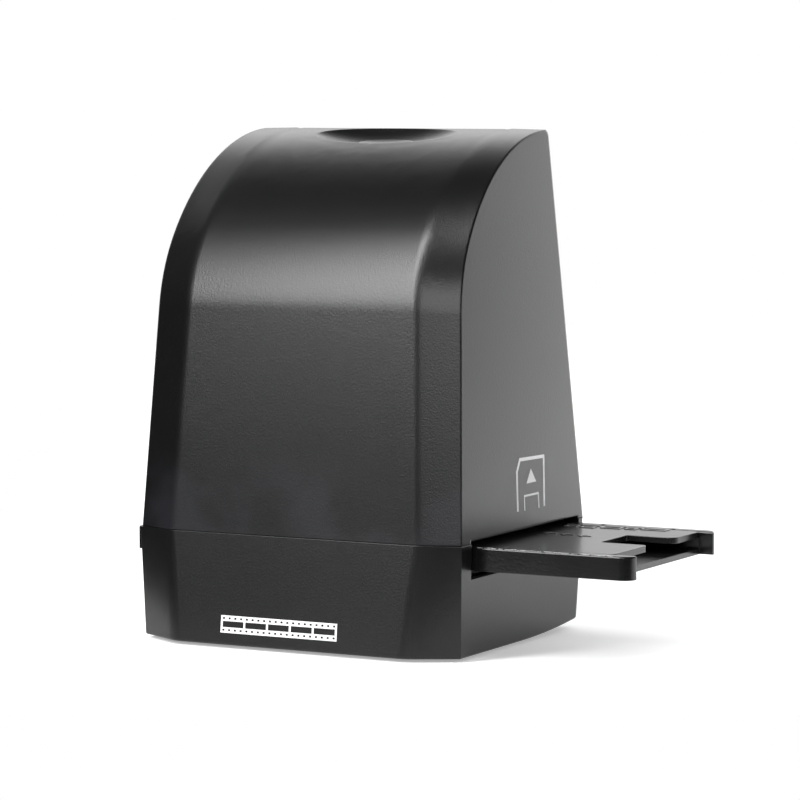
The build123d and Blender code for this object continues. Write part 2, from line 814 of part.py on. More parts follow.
holder_bore = barrel_radius + barrel_gap
barrel_bottom = tunnel_end - barrel_below
barrel_top = barrel_bottom + barrel_length
sensor_board_bottom = holder_top
with BuildPart() as lens_holder:
    with BuildSketch(Plane.XY.offset(tunnel_end)):
        with Locations((0, tray_middle)):
            RectangleRounded(holder, holder, lens_inset)
    extrude(amount=holder_height)
    with BuildSketch(Plane.XY.offset(tunnel_end)):
        with Locations((0, tray_middle)):
            Circle(holder_bore)
    extrude(amount=barrel_top - tunnel_end + screw_gap, mode=Mode.SUBTRACT)
    with BuildSketch(Plane.XY.offset(tunnel_end)):
        with Locations((0, tray_middle)):
            Rectangle(holder_throat, holder_throat)
    extrude(amount=holder_height, mode=Mode.SUBTRACT)
    with BuildSketch(Plane.XY.offset(holder_top)):
        with Locations((0, tray_middle)):
            Rectangle(sensor_side + screw_gap, sensor_side + screw_gap)
    extrude(amount=-sensor_thickness - screw_gap, mode=Mode.SUBTRACT)
    with BuildSketch(Plane.XY.offset(holder_top)):
        with Locations((0, tray_middle)):
            with GridLocations(holder - 2 * small_screw["head"], 0, 2, 1):
                Circle(small_screw["radius"] + screw_gap)
    extrude(amount=-case_screw_bite, mode=Mode.SUBTRACT)
save(lens_holder.part, "lens_holder")


bore = barrel_radius - barrel_wall
throat = bore - barrel_wall / 2
lens_radius = bore - barrel_gap
lens_curve = (lens_radius**2 + lens_dome**2) / (2 * lens_dome)
seat_sag = lens_curve - sqrt(lens_curve**2 - throat**2)


def lens(bottom, thickness):
    """A lens with a ground edge and two domed faces, bowed by the same amount."""
    with BuildPart(Location((0, tray_middle, bottom))) as body:
        with Locations((0, 0, thickness / 2)):
            Cylinder(lens_radius, thickness)
        with Locations((0, 0, lens_curve)):
            Sphere(lens_curve, mode=Mode.INTERSECT)
        with Locations((0, 0, thickness - lens_curve)):
            Sphere(lens_curve, mode=Mode.INTERSECT)
    return body.part


front_lens_bottom = barrel_bottom + lens_inset
rear_lens_bottom = barrel_top - 2 * lens_inset - rear_lens_thickness
with BuildPart() as lens_barrel:
    with BuildSketch(Plane.XY.offset(barrel_bottom)):
        with Locations((0, tray_middle)):
            Circle(barrel_radius)
            Circle(throat, mode=Mode.SUBTRACT)
    extrude(amount=barrel_length)
    with BuildSketch(Plane.XY.offset(barrel_bottom)):
        with Locations((0, tray_middle)):
            Circle(bore)
    extrude(amount=lens_inset + front_lens_thickness - seat_sag, mode=Mode.SUBTRACT)
    with BuildSketch(Plane.XY.offset(barrel_top)):
        with Locations((0, tray_middle)):
            Circle(bore)
    extrude(amount=seat_sag - 2 * lens_inset - rear_lens_thickness, mode=Mode.SUBTRACT)
save(lens_barrel.part, "lens_barrel")

with BuildPart() as front_lens:
    add(lens(front_lens_bottom, front_lens_thickness))
save(front_lens.part, "front_lens")

with BuildPart() as rear_lens:
    add(lens(rear_lens_bottom, rear_lens_thickness))
save(rear_lens.part, "rear_lens")

# Infrared filter, on the ledge that the bore leaves around the throat
with BuildPart() as infrared_filter:
    with BuildSketch(Plane.XY.offset(barrel_top + screw_gap - filter_thickness)):
        with Locations((0, tray_middle)):
            Circle(filter_side / 2)
    extrude(amount=filter_thickness)
save(infrared_filter.part, "infrared_filter")

with BuildPart() as image_sensor:
    with BuildSketch(Plane.XY.offset(sensor_board_bottom)):
        with Locations((0, tray_middle)):
            Rectangle(sensor_side, sensor_side)
    extrude(amount=-sensor_thickness)
save(image_sensor.part, "image_sensor")

with BuildPart() as sensor_board:
    with BuildSketch(Plane.XY.offset(sensor_board_bottom)):
        with Locations((0, tray_middle)):
            Rectangle(sensor_board_x, sensor_board_y)
            with GridLocations(holder - 2 * small_screw["head"], 0, 2, 1):
                Circle(small_screw["radius"] + screw_gap, mode=Mode.SUBTRACT)
    extrude(amount=board_thickness)
save(sensor_board.part, "sensor_board")

sensor_board_top = sensor_board_bottom + board_thickness
with BuildPart() as sensor_screws:
    for side in (-1, 1):
        place = (side * (holder / 2 - small_screw["head"]), tray_middle, sensor_board_top)
        add(screw(Plane(origin=place, z_dir=(0, 0, 1)), small_screw, case_screw_bite))
save(sensor_screws.part, "sensor_screws")


# Main board, screwed to the standoffs, with its chips, connectors and USB socket. Its own
# plane faces back, so a place on its front face is given on that plane too.
def board_box(plane, x, y, width, height, thickness):
    """A box that stands on a board's face, away from it along the plane's -Z."""
    with BuildPart() as body:
        with BuildSketch(plane):
            with Locations((x, y)):
                Rectangle(width, height)
        extrude(amount=-thickness)
    return body.part


with BuildPart() as main_board:
    with BuildSketch(board_back):
        with Locations((0, (main_low + main_high) / 2)):
            Rectangle(main_width, main_high - main_low)
        with Locations(*board_holes):
            Circle(small_screw["radius"] + screw_gap, mode=Mode.SUBTRACT)
    extrude(amount=-main_thickness)
save(main_board.part, "main_board")

with BuildPart() as board_screws:
    for place in board_holes:
        spot = board_front.from_local_coords(Vector(*place))
        plane = Plane(origin=spot, x_dir=(1, 0, 0), z_dir=-board_front.z_dir)
        add(screw(plane, small_screw, main_thickness + standoff - wall))
save(board_screws.part, "board_screws")

with BuildPart() as image_chip:
    add(board_box(board_front, 0, chip_low, chip_side, chip_side, chip_thickness))
save(image_chip.part, "image_chip")

with BuildPart() as memory_chip:
    chip = board_box(
        board_front, memory_x, chip_low, memory_width, memory_length, chip_thickness
    )
    add(chip)
save(memory_chip.part, "memory_chip")

usb_plane = board_back.offset(standoff + wall - usb_sink)
with BuildPart() as usb_socket:
    with BuildSketch(usb_plane):
        with Locations((0, usb_rise)):
            RectangleRounded(usb_width, usb_height, usb_sink)
    extrude(amount=-standoff - wall + usb_sink)
    with BuildSketch(usb_plane):
        with Locations((0, usb_rise)):
            RectangleRounded(usb_mouth_width, usb_mouth_height, usb_sink / 2)
    extrude(amount=-usb_mouth_depth, mode=Mode.SUBTRACT)
save(usb_socket.part, "usb_socket")

# The contact tongue in the middle of the USB socket's mouth
with BuildPart() as usb_tongue:
    with BuildSketch(usb_plane.offset(-usb_mouth_depth)):
        with Locations((0, usb_rise)):
            Rectangle(usb_mouth_width / 2, usb_mouth_height / 3)
    extrude(amount=usb_mouth_depth * 3 / 4)
save(usb_tongue.part, "usb_tongue")

# Scan button: an oval cap that follows the dish, with a flange that keeps it in, a switch
# under it and a small light beside it, on a board of their own
flange_bottom = button_seat.offset(-flange_thickness)
switch_top = button_board_top.offset(switch_height)
with BuildPart() as scan_button:
    with BuildSketch(flange_bottom):
        Ellipse(button_length / 2, button_width / 2)
    extrude(amount=dish_plane.to_local_coords(flange_bottom.origin).Z * -1)
    add(dish_ball(lift=button_proud), mode=Mode.SUBTRACT)
    with BuildSketch(flange_bottom):
        Ellipse(button_length / 2 + flange_overlap, button_width / 2 + flange_overlap)
    extrude(amount=flange_thickness)
    with BuildSketch(flange_bottom):
        Circle(stem_radius)
    extrude(amount=-stem_length)
save(scan_button.part, "scan_button")

with BuildPart() as switch_plunger:
    with BuildSketch(flange_bottom.offset(-stem_length)):
        Circle(plunger_radius)
    extrude(amount=-plunger_length)
save(switch_plunger.part, "switch_plunger")

with BuildPart() as scan_switch:
    with BuildSketch(button_board_top):
        RectangleRounded(switch_side, switch_side, switch_side / 10)
    extrude(amount=switch_height)
    with BuildSketch(switch_top):
        Circle(plunger_radius + plunger_gap)
    extrude(amount=switch_drop - plunger_length - button_travel - plunger_gap, mode=Mode.SUBTRACT)
save(scan_switch.part, "scan_switch")

with BuildPart() as button_board:
    with BuildSketch(button_board_top):
        with Locations((0, (button_board_back - button_board_front) / 2)):
            RectangleRounded(
                button_board_length, button_board_front + button_board_back, button_boss_radius
            )
        with Locations(*button_board_places):
            Circle(small_screw["radius"] + screw_gap, mode=Mode.SUBTRACT)
    extrude(amount=-board_thickness)
save(button_board.part, "button_board")

with BuildPart() as button_board_screws:
    for place in button_board_places:
        spot = button_board_top.offset(-board_thickness).from_local_coords(Vector(*place))
        plane = Plane(origin=spot, x_dir=(1, 0, 0), z_dir=-dish_plane.z_dir)
        add(screw(plane, small_screw, board_thickness + case_screw_bite - screw_gap))
save(button_board_screws.part, "button_board_screws")

with BuildPart() as light_die:
    with BuildSketch(button_board_top):
        with Locations((0, light_offset)):
            Rectangle(2 * light_radius, 2 * light_radius)
    extrude(amount=lamp_die_height)
save(light_die.part, "light_die")

light_bottom = button_board_top.offset(lamp_die_height)
light_rise = dish_centre - sqrt(dish_radius**2 - light_offset**2)
with BuildPart() as light_pipe:
    with BuildSketch(light_bottom):
        with Locations((0, light_offset)):
            Circle(light_radius)
    extrude(amount=light_rise - dish_plane.to_local_coords(light_bottom.origin).Z)
save(light_pipe.part, "light_pipe")


# Ribbon cables, each a folded strip between two plugs
def strip(points, x, width):
    """A flat ribbon that follows these points in a plane across X."""
    with BuildPart() as body:
        with BuildSketch(Plane.YZ.offset(x - width / 2)):
            with BuildLine():
                Polyline(*points)
            trace(line_width=ribbon_thickness)
        extrude(amount=width)
    return body.part


sensor_plug_y = tray_middle + sensor_board_y / 2 - connector_depth
sensor_plug_top = sensor_board_top + connector_depth
with BuildPart() as ribbon_plugs:
    with BuildSketch(Plane.XY.offset(sensor_board_top)):
        with Locations((0, sensor_plug_y)):
            Rectangle(ribbon_width + 2 * screw_gap, connector_height)
    extrude(amount=connector_depth)
    high = main_high - connector_height / 2
    width = ribbon_width + 2 * screw_gap
    add(board_box(board_front, 0, high, width, connector_height, connector_depth))
save(ribbon_plugs.part, "ribbon_plugs")

half_strip = ribbon_thickness / 2
with BuildPart() as sensor_ribbon:
    rise = sensor_plug_top + half_strip
    landing = [
        board_front.from_local_coords(Vector(0, height, -connector_depth - half_strip))
        for height in (main_high - connector_height * 3 / 4, main_high)
    ]
    points = [
        (sensor_plug_y - connector_height / 2, rise),
        (sensor_plug_y + connector_height / 4, rise),
    ]
    points += [(spot.Y, spot.Z) for spot in landing]
    add(strip(points, 0, ribbon_width))
save(sensor_ribbon.part, "sensor_ribbon")

button_board_under = button_board_top.offset(-board_thickness)
button_plug_row = main_high - 2 * connector_height
button_plug_width = button_ribbon_width + 2 * screw_gap
button_plug_places = [
    (button_board_under, button_ribbon_x, 0),
    (board_front, -button_ribbon_x, button_plug_row),
]
with BuildPart() as button_plugs:
    for plane, x, y in button_plug_places:
        add(board_box(plane, x, y, button_plug_width, connector_height, connector_depth))
save(button_plugs.part, "button_plugs")

with BuildPart() as button_ribbon:
    rise = -connector_depth - half_strip
    spots = [
        button_board_under.from_local_coords(Vector(0, -connector_height / 2, rise)),
        button_board_under.from_local_coords(Vector(0, connector_height / 4, rise)),
        board_front.from_local_coords(Vector(0, button_plug_row + connector_height / 2, rise)),
        board_front.from_local_coords(Vector(0, button_plug_row - connector_height / 2, rise)),
    ]
    add(strip([(spot.Y, spot.Z) for spot in spots], button_ribbon_x, button_ribbon_width))
save(button_ribbon.part, "button_ribbon")

# Lamp cable, from a plug on the lamp board, up in front of the film guides, to the main board
cable_front = (case_boss_y + guide_front) / 2
lamp_plug_y = tray_middle - lamp_board / 2 + plug_side / 2
cable_start = lamp_board_top + plug_height / 2
board_plug = board_front.from_local_coords(
    Vector(-cable_side_x, (cable_height - seam_height) / cos(radians(back_lean)), 0)
)
cable_end = board_plug - board_front.z_dir * (plug_height + cable_radius / 6)
with BuildPart() as lamp_plugs:
    with BuildSketch(Plane.XY.offset(lamp_board_top)):
        with Locations((cable_x, lamp_plug_y)):
            Rectangle(plug_side, plug_side)
    extrude(amount=plug_height)
    plug_row = (cable_height - seam_height) / cos(radians(back_lean))
    add(board_box(board_front, -cable_side_x, plug_row, plug_side, plug_side, plug_height))
save(lamp_plugs.part, "lamp_plugs")

with BuildPart() as lamp_cable:
    with BuildLine() as cable_route:
        FilletPolyline(
            (cable_x, lamp_plug_y - plug_side / 2, cable_start),
            (cable_x, cable_front, cable_start),
            (cable_x, cable_front, cable_end.Z),
            (cable_side_x, cable_front + 2 * plug_side, cable_end.Z),
            (cable_side_x, cable_end.Y, cable_end.Z),
            radius=cable_bend,
        )
    with BuildSketch(Plane(origin=cable_route.line @ 0, z_dir=cable_route.line % 0)):
        Circle(cable_radius)
    sweep()
save(lamp_cable.part, "lamp_cable")

# Slide tray: a lower plate between two rails with ledges, and a cover between the rails.
# A slide mount slides in between the two plates.
rail_inner = mount_width / 2 + tray_ledge
notch_centre = tray_middle + notch_shift
index_places = [(index_first + index_pitch * step, 0) for step in range(index_count)]
with BuildPart() as tray_frame:
    with BuildSketch(Plane.XY.offset(tray_bottom)):
        with Locations((tray_left, tray_middle)):
            Rectangle(
                tray_plate_end - tray_left,
                2 * rail_inner,
                align=(Align.MIN, Align.CENTER),
            )
        with Locations((0, tray_middle)):
            RectangleRounded(window, window, window_corner, mode=Mode.SUBTRACT)
    extrude(amount=tray_plate)
    for side, end in ((-1, tray_rail_end), (1, tray_rear_rail_end)):
        rail_y = tray_middle + side * (rail_inner + tray_rail / 2)
        with BuildSketch(Plane.XY.offset(tray_bottom)) as rail:
            with Locations((tray_left, rail_y)):
                Rectangle(end - tray_left, tray_rail, align=(Align.MIN, Align.CENTER))
            outer = rail.vertices().group_by(Axis.Y)[0 if side < 0 else -1]
            fillet(outer.group_by(Axis.X)[-1], rail_round)
        with BuildPart(mode=Mode.PRIVATE) as rail_bar:
            extrude(rail.sketch, amount=tray_top - tray_bottom)
            rail_faces = rail_bar.faces().sort_by(Axis.Z)
            ends = (rail_faces[0].edges() + rail_faces[-1].edges()).filter_by(
                lambda edge: edge.center().X > tray_left
            )
            fillet(ends, rail_edge_round)
        add(rail_bar.part)
        ledge_y = tray_middle + side * (rail_inner - tray_ledge / 2)
        with BuildSketch(Plane.XY.offset(tray_bottom)):
            with Locations((tray_left, ledge_y)):
                Rectangle(
                    tray_plate_end - tray_left, tray_ledge, align=(Align.MIN, Align.CENTER)
                )
        extrude(amount=cover_bottom - tray_bottom)
    with BuildSketch(Plane.XY.offset(tray_top)):
        with Locations((0, tray_middle + rail_inner)):
            with Locations(*index_places):
                Rectangle(index_length, tray_rail)
    extrude(amount=-index_depth, mode=Mode.SUBTRACT)
save(tray_frame.part, "tray_frame")

with BuildPart() as tray_cover:
    with BuildSketch(Plane.XY.offset(cover_bottom)) as plate:
        with Locations((tray_left, tray_middle)):
            Rectangle(
                tray_plate_end - tray_left,
                2 * (rail_inner - cover_side_gap),
                align=(Align.MIN, Align.CENTER),
            )
        with Locations((tray_plate_end, notch_centre)):
            Rectangle(2 * notch_depth, notch_width, mode=Mode.SUBTRACT)
        inner = plate.vertices().filter_by_position(
            Axis.X, tray_left + notch_depth, tray_plate_end - notch_depth / 2
        )
        fillet(inner, notch_corner)
        fillet(plate.vertices().group_by(Axis.X)[-1], tongue_round)
        with Locations((0, tray_middle)):
            RectangleRounded(window, window, window_corner, mode=Mode.SUBTRACT)
    extrude(amount=cover_plate)
save(tray_cover.part, "tray_cover")
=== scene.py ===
import math
import random

import bmesh
import bpy
from mathutils import Matrix, Vector


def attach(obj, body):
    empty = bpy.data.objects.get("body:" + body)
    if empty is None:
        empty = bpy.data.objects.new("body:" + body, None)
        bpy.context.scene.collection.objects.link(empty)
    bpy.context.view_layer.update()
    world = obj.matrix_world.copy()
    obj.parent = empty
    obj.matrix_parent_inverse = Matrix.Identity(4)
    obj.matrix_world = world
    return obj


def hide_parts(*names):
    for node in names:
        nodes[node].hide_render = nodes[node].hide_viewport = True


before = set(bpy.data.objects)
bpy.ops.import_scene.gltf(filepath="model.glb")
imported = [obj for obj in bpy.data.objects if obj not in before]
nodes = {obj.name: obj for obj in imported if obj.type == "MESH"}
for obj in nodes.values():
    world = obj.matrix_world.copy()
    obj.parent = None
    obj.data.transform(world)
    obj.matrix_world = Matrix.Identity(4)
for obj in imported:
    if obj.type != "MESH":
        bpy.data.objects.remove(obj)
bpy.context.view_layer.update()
mm = 0.001

# The camera was fitted to the case's edges, for a square frame 800 pixels wide
cameraSettings = {
    "place": (443.46 * mm, -816.82 * mm, 138.59 * mm),
    "focalPixels": 3696.53,
    "yaw": 27.8818,       # degrees towards the object's right side
    "downward": 4.8711,
    "sensor": 36.0,
    "frameWidth": 800,
    "nearest": 0.01,      # metres
    "farthest": 20.0,
}


def makeCamera(s):
    data = bpy.data.cameras.new("photoCamera")
    data.sensor_width = s["sensor"]
    data.lens = s["focalPixels"] / s["frameWidth"] * s["sensor"]
    data.clip_start = s["nearest"]
    data.clip_end = s["farthest"]
    camera = bpy.data.objects.new("photoCamera", data)
    camera.location = s["place"]
    camera.rotation_euler = (math.radians(90 - s["downward"]), 0, math.radians(s["yaw"]))
    bpy.context.scene.collection.objects.link(camera)
    bpy.context.scene.camera = camera


makeCamera(cameraSettings)
print("camera ready")

# Helpers for node materials
edgeSamples = 8
plainSpecular = 0.5
mixFirst, mixSecond, mixResult = 6, 7, 2  # the colour sockets of a Mix node


def newMaterial(name):
    material = bpy.data.materials.new(name)
    material.use_nodes = True
    tree = material.node_tree
    return material, tree, tree.nodes["Principled BSDF"]


def addNode(tree, kind, **values):
    node = tree.nodes.new(kind)
    for key, value in values.items():
        setattr(node, key, value)
    return node


def objectCoordinates(tree):
    return addNode(tree, "ShaderNodeTexCoord").outputs["Object"]


def noise(tree, coordinates, scale, detail=2.0, roughness=0.5):
    node = addNode(tree, "ShaderNodeTexNoise")
    node.inputs["Scale"].default_value = scale
    node.inputs["Detail"].default_value = detail
    node.inputs["Roughness"].default_value = roughness
    tree.links.new(coordinates, node.inputs["Vector"])
    return node.outputs["Fac"]


def spread(tree, value, low, high, fromLow=0.3, fromHigh=0.7, smooth=False):
    node = addNode(tree, "ShaderNodeMapRange")
    node.interpolation_type = "SMOOTHSTEP" if smooth else "LINEAR"
    node.inputs["From Min"].default_value = fromLow
    node.inputs["From Max"].default_value = fromHigh
    node.inputs["To Min"].default_value = low
    node.inputs["To Max"].default_value = high
    tree.links.new(value, node.inputs["Value"])
    return node.outputs["Result"]


def combine(tree, operation, first, second):
    node = addNode(tree, "ShaderNodeMath", operation=operation)
    for socket, value in zip(node.inputs, (first, second)):
        if isinstance(value, (int, float)):
            socket.default_value = value
        else:
            tree.links.new(value, socket)
    return node.outputs["Value"]


def mixColours(tree, factor, first, second):
    node = addNode(tree, "ShaderNodeMix", data_type="RGBA")
    tree.links.new(factor, node.inputs["Factor"])
    for place, colour in ((mixFirst, first), (mixSecond, second)):
        socket = node.inputs[place]
        if isinstance(colour, tuple):
            socket.default_value = (*colour, 1)
        else:
            tree.links.new(colour, socket)
    return node.outputs[mixResult]


def addBump(tree, shader, height, distance, after=None):
    node = addNode(tree, "ShaderNodeBump")
    node.inputs["Distance"].default_value = distance
    tree.links.new(height, node.inputs["Height"])
    if after is not None:
        tree.links.new(after, node.inputs["Normal"])
    tree.links.new(node.outputs["Normal"], shader.inputs["Normal"])


def roundEdges(tree, radius):
    node = addNode(tree, "ShaderNodeBevel", samples=edgeSamples)
    node.inputs["Radius"].default_value = radius
    return node.outputs["Normal"]


# Satin black plastic of the case, with a fine grain. Lighter patches painted low on the hood
# stand for light and shade of the inside seen through the smoked plastic
casePaint = {
    "dark": (0.0035, 0.0035, 0.0038), "pale": (0.0060, 0.0060, 0.0064),
    "roughLow": 0.272, "roughHigh": 0.300, "grain": 0.000024, "grainScale": 2400.0,
    "edge": 0.0008, "cloudScale": 30.0,
}
basePaint = dict(casePaint, name="baseBlackPlastic", edge=0.0002, specular=0.38)
hoodPaint = dict(
    casePaint, name="smokyCasePlastic",
    # Painted light and shade of the inside, seen through the hood's smoked plastic
    paintedShowThrough={
        "colour": (0.0125, 0.0125, 0.0150), "scale": 42.0, "detail": 3.0,
        "from": 0.46, "to": 0.64, "full": 0.036, "gone": 0.052,
    },
)
trayPaint = {
    "name": "mouldedTrayPlastic",
    "dark": (0.004, 0.004, 0.0045), "pale": (0.008, 0.008, 0.0085),
    "roughLow": 0.20, "roughHigh": 0.27, "grain": 0.000025, "grainScale": 1500.0,
    "edge": 0.00025, "cloudScale": 60.0,
}
guidePaint = {
    "name": "mattBlackPlastic", "dark": (0.010, 0.010, 0.010), "pale": (0.016, 0.016, 0.016),
    "roughLow": 0.50, "roughHigh": 0.62, "grain": 0.00002, "grainScale": 1800.0,
    "edge": 0.0002, "cloudScale": 50.0,
}
buttonPaint = {
    "name": "buttonPlastic", "dark": (0.014, 0.014, 0.015), "pale": (0.018, 0.018, 0.019),
    "roughLow": 0.14, "roughHigh": 0.20, "grain": 0.000004, "grainScale": 1200.0,
    "edge": 0.0003, "cloudScale": 80.0,
}
whitePaint = {
    "name": "whitePlastic", "dark": (0.72, 0.72, 0.70), "pale": (0.80, 0.80, 0.78),
    "roughLow": 0.42, "roughHigh": 0.52, "grain": 0.00001, "grainScale": 1600.0,
    "edge": 0.0002, "cloudScale": 90.0,
}
chipPaint = {
    "name": "chipPackage", "dark": (0.020, 0.020, 0.021), "pale": (0.034, 0.034, 0.035),
    "roughLow": 0.45, "roughHigh": 0.60, "grain": 0.00001, "grainScale": 3500.0,
    "edge": 0.0001, "cloudScale": 300.0,
}
rubberPaint = {
    "name": "footRubber", "dark": (0.018, 0.018, 0.018), "pale": (0.032, 0.032, 0.031),
    "roughLow": 0.75, "roughHigh": 0.90, "grain": 0.00003, "grainScale": 900.0,
    "edge": 0.0003, "cloudScale": 120.0,
}
cablePaint = {
    "name": "cableSheath", "dark": (0.020, 0.020, 0.022), "pale": (0.036, 0.036, 0.038),
    "roughLow": 0.35, "roughHigh": 0.48, "grain": 0.00001, "grainScale": 700.0,
    "edge": 0.0001, "cloudScale": 100.0,
}
plasticDetail = {"cloud": 4.0, "grain": 1.0}


# Painted light: lighter patches in a band low on the hood, for the inside seen through the smoked
# plastic
def addPaintedShowThrough(tree, where, colour, s):
    patches = noise(tree, where, s["scale"], s["detail"])
    cloud = spread(tree, patches, 0, 1, s["from"], s["to"], smooth=True)
    axes = addNode(tree, "ShaderNodeSeparateXYZ")
    tree.links.new(where, axes.inputs["Vector"])
    low = spread(tree, axes.outputs["Z"], 1, 0, s["full"], s["gone"], smooth=True)
    return mixColours(tree, combine(tree, "MULTIPLY", cloud, low), colour, s["colour"])


def mouldedPlastic(s):
    material, tree, shader = newMaterial(s["name"])
    where = objectCoordinates(tree)
    cloud = noise(tree, where, s["cloudScale"], plasticDetail["cloud"])
    colour = mixColours(tree, cloud, s["dark"], s["pale"])
    if "paintedShowThrough" in s:
        colour = addPaintedShowThrough(tree, where, colour, s["paintedShowThrough"])
    tree.links.new(colour, shader.inputs["Base Color"])
    rough = spread(tree, cloud, s["roughLow"], s["roughHigh"], 0.0, 1.0)
    tree.links.new(rough, shader.inputs["Roughness"])
    shader.inputs["Specular IOR Level"].default_value = s.get("specular", plainSpecular)
    fine = noise(tree, where, s["grainScale"], plasticDetail["grain"])
    addBump(tree, shader, fine, s["grain"], after=roundEdges(tree, s["edge"]))
    return material


zincFinish = {
    "name": "zincSteel", "dark": (0.46, 0.46, 0.48), "pale": (0.66, 0.66, 0.67),
    "rough": (0.26, 0.40), "scale": 500.0, "stretch": (1, 1, 1),
}
springFinish = {
    "name": "springSteel", "dark": (0.50, 0.50, 0.51), "pale": (0.68, 0.68, 0.68),
    "rough": (0.18, 0.30), "scale": 400.0, "stretch": (0.1, 1, 1),
}
tinFinish = {
    "name": "tinPlate", "dark": (0.68, 0.68, 0.67), "pale": (0.80, 0.80, 0.78),
    "rough": (0.20, 0.32), "scale": 600.0, "stretch": (1, 1, 0.2),
}
metalGrain = {"detail": 3.0, "bump": 0.000004, "edge": 0.00015}


def platedMetal(s):
    material, tree, shader = newMaterial(s["name"])
    stretch = addNode(tree, "ShaderNodeMapping")
    stretch.inputs["Scale"].default_value = s["stretch"]
    tree.links.new(objectCoordinates(tree), stretch.inputs["Vector"])
    grain = noise(tree, stretch.outputs["Vector"], s["scale"], metalGrain["detail"])
    tree.links.new(mixColours(tree, grain, s["dark"], s["pale"]), shader.inputs["Base Color"])
    tree.links.new(spread(tree, grain, *s["rough"]), shader.inputs["Roughness"])
    shader.inputs["Metallic"].default_value = 1.0
    edges = roundEdges(tree, metalGrain["edge"])
    addBump(tree, shader, grain, metalGrain["bump"], after=edges)
    return material


boardPaint = {
    "name": "solderMask", "mask": (0.012, 0.085, 0.030), "track": (0.020, 0.130, 0.050),
    "cell": 420.0, "jumble": 0.35, "gap": (0.42, 0.50), "rough": 0.32,
    "relief": 0.00002, "edge": 0.0001,
}


def circuitBoard(s):
    material, tree, shader = newMaterial(s["name"])
    cells = addNode(tree, "ShaderNodeTexVoronoi", distance="MANHATTAN", feature="F1")
    cells.inputs["Scale"].default_value = s["cell"]
    cells.inputs["Randomness"].default_value = s["jumble"]
    tree.links.new(objectCoordinates(tree), cells.inputs["Vector"])
    tracks = spread(tree, cells.outputs["Distance"], 0, 1, *s["gap"])
    tree.links.new(mixColours(tree, tracks, s["mask"], s["track"]), shader.inputs["Base Color"])
    shader.inputs["Roughness"].default_value = s["rough"]
    addBump(tree, shader, tracks, s["relief"], after=roundEdges(tree, s["edge"]))
    return material


feltFinish = {
    "name": "sealFelt", "dark": (0.008, 0.008, 0.008), "pale": (0.030, 0.030, 0.030),
    "fibreScale": 2600.0, "detail": 6.0, "fray": 0.8, "rough": 0.95, "sheen": 0.3, "nap": 0.00015,
}


def felt(s):
    material, tree, shader = newMaterial(s["name"])
    fibres = noise(tree, objectCoordinates(tree), s["fibreScale"], s["detail"], s["fray"])
    tree.links.new(mixColours(tree, fibres, s["dark"], s["pale"]), shader.inputs["Base Color"])
    shader.inputs["Roughness"].default_value = s["rough"]
    shader.inputs["Sheen Weight"].default_value = s["sheen"]
    addBump(tree, shader, fibres, s["nap"])
    return material


lensFinish = {
    "name": "coatedLens", "tint": (0.93, 0.96, 1.0), "pale": (0.98, 0.99, 1.0), "ior": 1.52,
    "rough": 0.01, "film": 120.0,
}
filterFinish = {
    "name": "cyanFilter", "tint": (0.42, 0.80, 0.82), "pale": (0.48, 0.86, 0.86), "ior": 1.52,
    "rough": 0.02, "film": 260.0,
}
pipeFinish = {
    "name": "lightPipe", "tint": (0.86, 0.92, 1.0), "pale": (0.94, 0.97, 1.0), "ior": 1.49,
    "rough": 0.12, "film": 0.0,
}
clearCloudScale = 200.0


def clearPiece(s):
    material, tree, shader = newMaterial(s["name"])
    cloud = noise(tree, objectCoordinates(tree), clearCloudScale)
    tree.links.new(mixColours(tree, cloud, s["tint"], s["pale"]), shader.inputs["Base Color"])
    shader.inputs["Transmission Weight"].default_value = 1.0
    shader.inputs["IOR"].default_value = s["ior"]
    shader.inputs["Roughness"].default_value = s["rough"]
    shader.inputs["Thin Film Thickness"].default_value = s["film"]
    return material


opalFinish = {
    "name": "opalSheet", "dark": (0.86, 0.86, 0.84), "pale": (0.90, 0.90, 0.88),
    "cloudScale": 120.0, "detail": 3.0, "rough": (0.35, 0.5), "milk": 0.4, "depth": 0.002,
}


def opalSheet(s):
    material, tree, shader = newMaterial(s["name"])
    cloud = noise(tree, objectCoordinates(tree), s["cloudScale"], s["detail"])
    tree.links.new(mixColours(tree, cloud, s["dark"], s["pale"]), shader.inputs["Base Color"])
    tree.links.new(spread(tree, cloud, *s["rough"]), shader.inputs["Roughness"])
    shader.inputs["Subsurface Weight"].default_value = s["milk"]
    shader.inputs["Subsurface Scale"].default_value = s["depth"]
    return material


lampFinish = {
    "name": "lampPhosphor", "edge": (0.85, 0.85, 0.80), "phosphor": (0.88, 0.72, 0.16),
    "grainScale": 900.0, "detail": 3.0, "blend": (0.35, 0.5), "rough": 0.3,
}


def lampBody(s):
    material, tree, shader = newMaterial(s["name"])
    grain = noise(tree, objectCoordinates(tree), s["grainScale"], s["detail"])
    blend = spread(tree, grain, 0, 1, *s["blend"])
    tree.links.new(mixColours(tree, blend, s["edge"], s["phosphor"]), shader.inputs["Base Color"])
    shader.inputs["Roughness"].default_value = s["rough"]
    return material


ribbonFinish = {
    "name": "ribbonFoil", "film": (0.66, 0.67, 0.70), "wire": (0.42, 0.43, 0.46),
    "pitch": 314.0, "rough": 0.28, "ridge": 0.00003,
}


def ribbonFoil(s):
    material, tree, shader = newMaterial(s["name"])
    wires = addNode(tree, "ShaderNodeTexWave", wave_type="BANDS", bands_direction="X")
    wires.inputs["Scale"].default_value = s["pitch"]
    tree.links.new(objectCoordinates(tree), wires.inputs["Vector"])
    colour = mixColours(tree, wires.outputs["Fac"], s["film"], s["wire"])
    tree.links.new(colour, shader.inputs["Base Color"])
    shader.inputs["Roughness"].default_value = s["rough"]
    addBump(tree, shader, wires.outputs["Fac"], s["ridge"])
    return material


